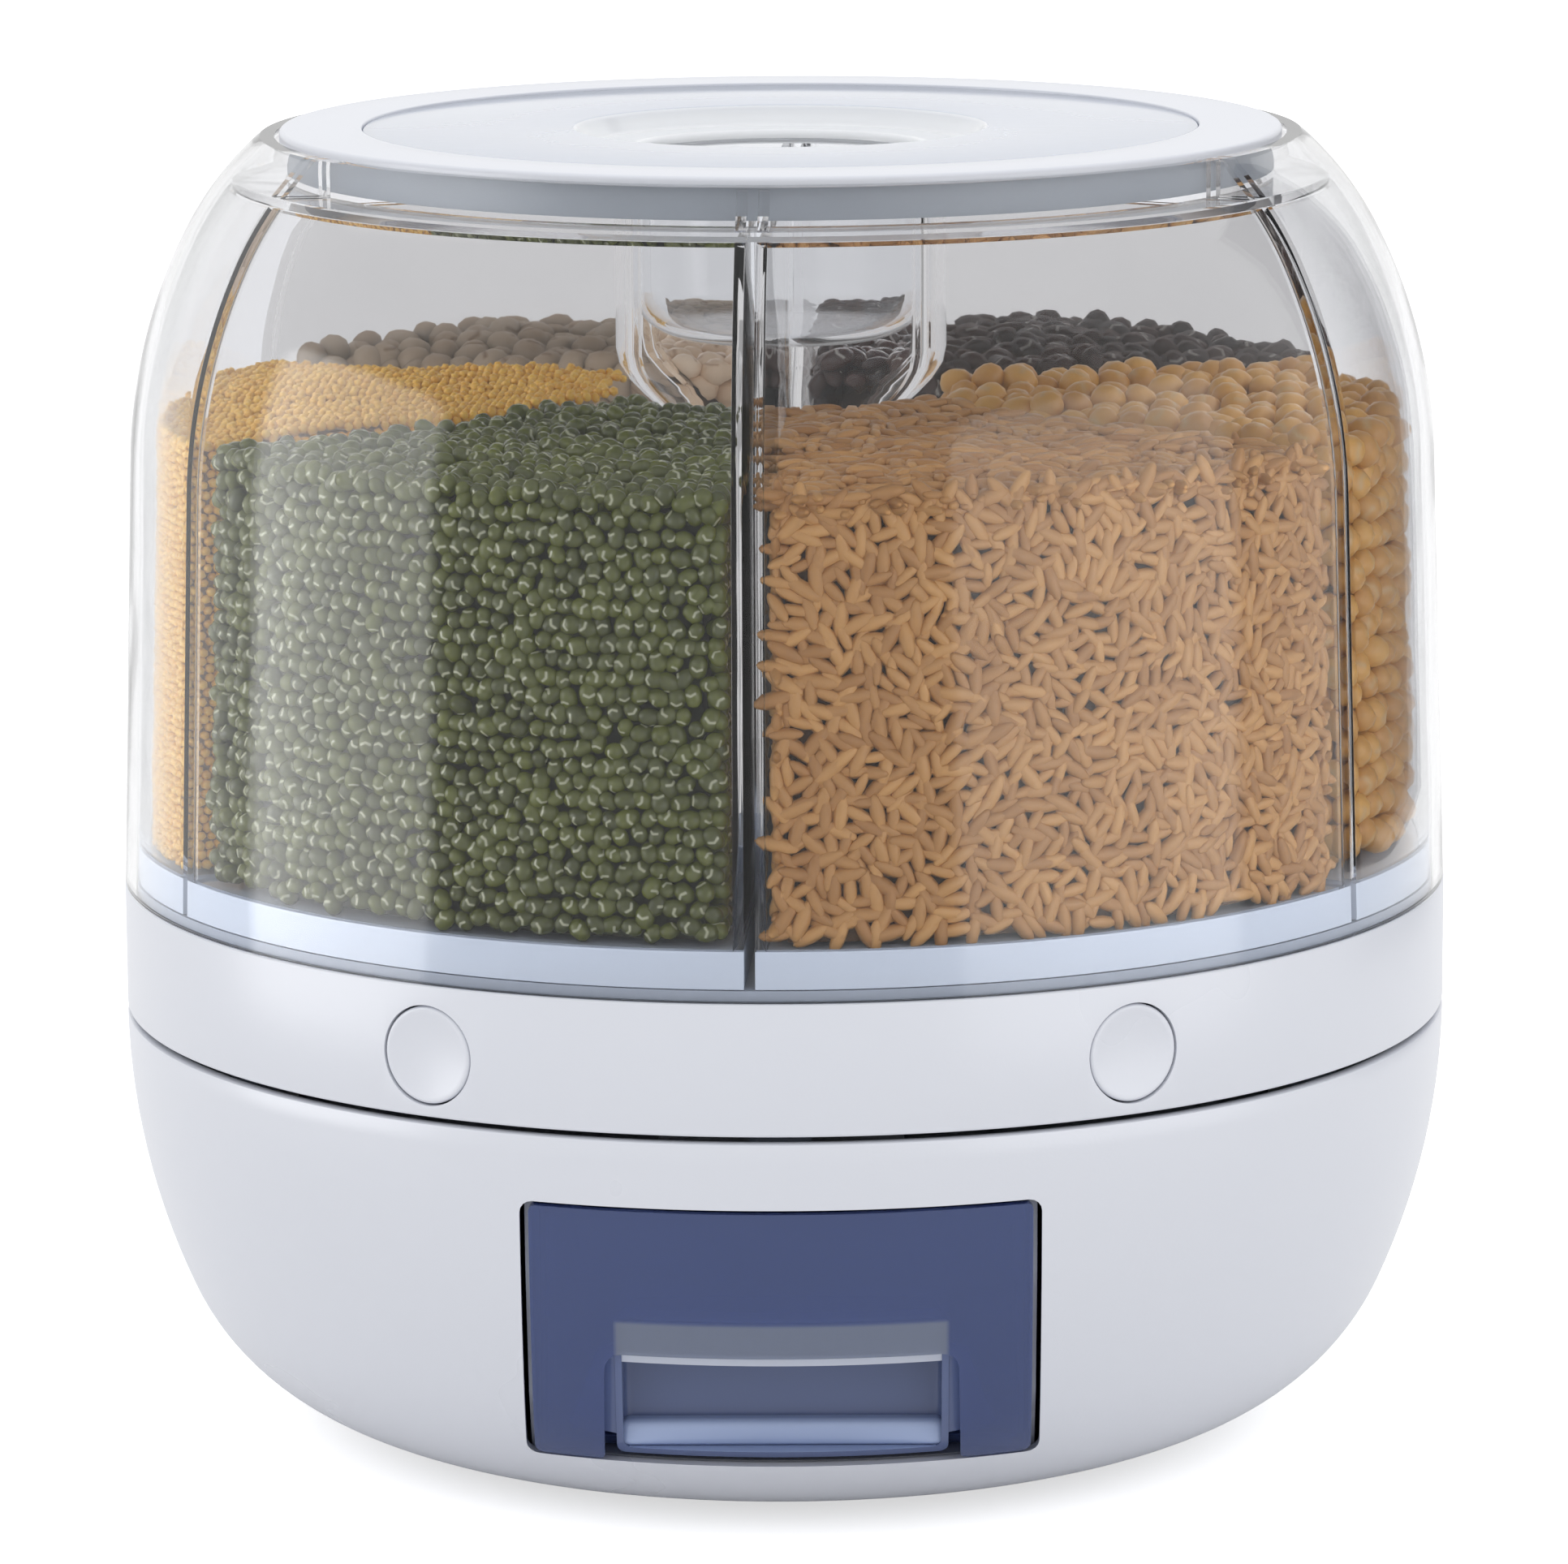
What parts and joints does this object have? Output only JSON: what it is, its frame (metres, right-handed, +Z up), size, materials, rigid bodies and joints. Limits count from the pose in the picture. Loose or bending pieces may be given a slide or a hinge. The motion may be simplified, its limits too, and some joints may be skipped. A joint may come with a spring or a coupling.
{
  "type": "rotating food dispenser",
  "caption": "Round countertop dry-food dispenser: a clear turning barrel of cells over a white bowl with a drawer; push buttons drop a portion into the drawer.",
  "frame": {"origin": "centre of the resting plane under the foot pads", "axes": "+Z up along the barrel's axis, the drawer opens towards -Y"},
  "size_m": [0.32, 0.32, 0.315],
  "materials": {
    "white_plastic": "glossy white ABS",
    "grey_plastic": "satin blue-grey ABS",
    "low_friction_plastic": "satin acetal",
    "slate_plastic": "glossy slate-blue ABS",
    "clear_plastic": "clear polystyrene",
    "frosted_plastic": "frosted polypropylene",
    "silicone": "grey silicone",
    "steel": "stainless steel"
  },
  "bodies": {
    "base": {"base_bowl": "white_plastic", "foot_pads": "silicone", "turntable_deck": "grey_plastic", "drawer_bay": "grey_plastic", "spindle_screw": "steel", "deck_screws": "steel"},
    "barrel": {"barrel_ring": "white_plastic", "sluice_plate": "grey_plastic", "glide_pads": "low_friction_plastic", "tub_plate": "grey_plastic", "outer_dome": "clear_plastic", "cell_1": "clear_plastic", "cell_2": "clear_plastic", "cell_3": "clear_plastic", "cell_4": "clear_plastic", "cell_5": "clear_plastic", "cell_6": "clear_plastic", "neck_ring": "clear_plastic", "return_spring_1": "steel", "return_spring_2": "steel", "return_spring_3": "steel", "return_spring_4": "steel", "return_spring_5": "steel", "return_spring_6": "steel"},
    "drawer": {"drawer_tray": "slate_plastic"},
    "lid": {"lid_rim": "white_plastic", "lid_window": "frosted_plastic", "lid_seal": "silicone"},
    "gate_1": {"button_1": "white_plastic", "shutter_1": "low_friction_plastic"},
    "gate_2": {"button_2": "white_plastic", "shutter_2": "low_friction_plastic"},
    "gate_3": {"button_3": "white_plastic", "shutter_3": "low_friction_plastic"},
    "gate_4": {"button_4": "white_plastic", "shutter_4": "low_friction_plastic"},
    "gate_5": {"button_5": "white_plastic", "shutter_5": "low_friction_plastic"},
    "gate_6": {"button_6": "white_plastic", "shutter_6": "low_friction_plastic"}
  },
  "joints": [
    {"name": "barrel_spin", "type": "hinge", "parent": "base", "child": "barrel", "pos_m": [0, 0, 0], "axis": [0, 0, 1], "continuous": true},
    {"name": "drawer_slide", "type": "slide", "parent": "base", "child": "drawer", "axis": [0, -1, 0], "range_m": [0, 0.14]},
    {"name": "lid_lift", "type": "slide", "parent": "barrel", "child": "lid", "axis": [0, 0, 1], "range_m": [0, 0.08]},
    {"name": "button_1_press", "type": "slide", "parent": "barrel", "child": "gate_1", "axis": [-0.5, 0.866, 0], "range_m": [0, 0.0135], "stiffness_N_per_m": 240, "springref_m": -0.004, "deforming": ["return_spring_1"]},
    {"name": "button_2_press", "type": "slide", "parent": "barrel", "child": "gate_2", "axis": [-1, 0, 0], "range_m": [0, 0.0135], "stiffness_N_per_m": 240, "springref_m": -0.004, "deforming": ["return_spring_2"]},
    {"name": "button_3_press", "type": "slide", "parent": "barrel", "child": "gate_3", "axis": [-0.5, -0.866, 0], "range_m": [0, 0.0135], "stiffness_N_per_m": 240, "springref_m": -0.004, "deforming": ["return_spring_3"]},
    {"name": "button_4_press", "type": "slide", "parent": "barrel", "child": "gate_4", "axis": [0.5, -0.866, 0], "range_m": [0, 0.0135], "stiffness_N_per_m": 240, "springref_m": -0.004, "deforming": ["return_spring_4"]},
    {"name": "button_5_press", "type": "slide", "parent": "barrel", "child": "gate_5", "axis": [1, 0, 0], "range_m": [0, 0.0135], "stiffness_N_per_m": 240, "springref_m": -0.004, "deforming": ["return_spring_5"]},
    {"name": "button_6_press", "type": "slide", "parent": "barrel", "child": "gate_6", "axis": [0.5, 0.866, 0], "range_m": [0, 0.0135], "stiffness_N_per_m": 240, "springref_m": -0.004, "deforming": ["return_spring_6"]}
  ]
}
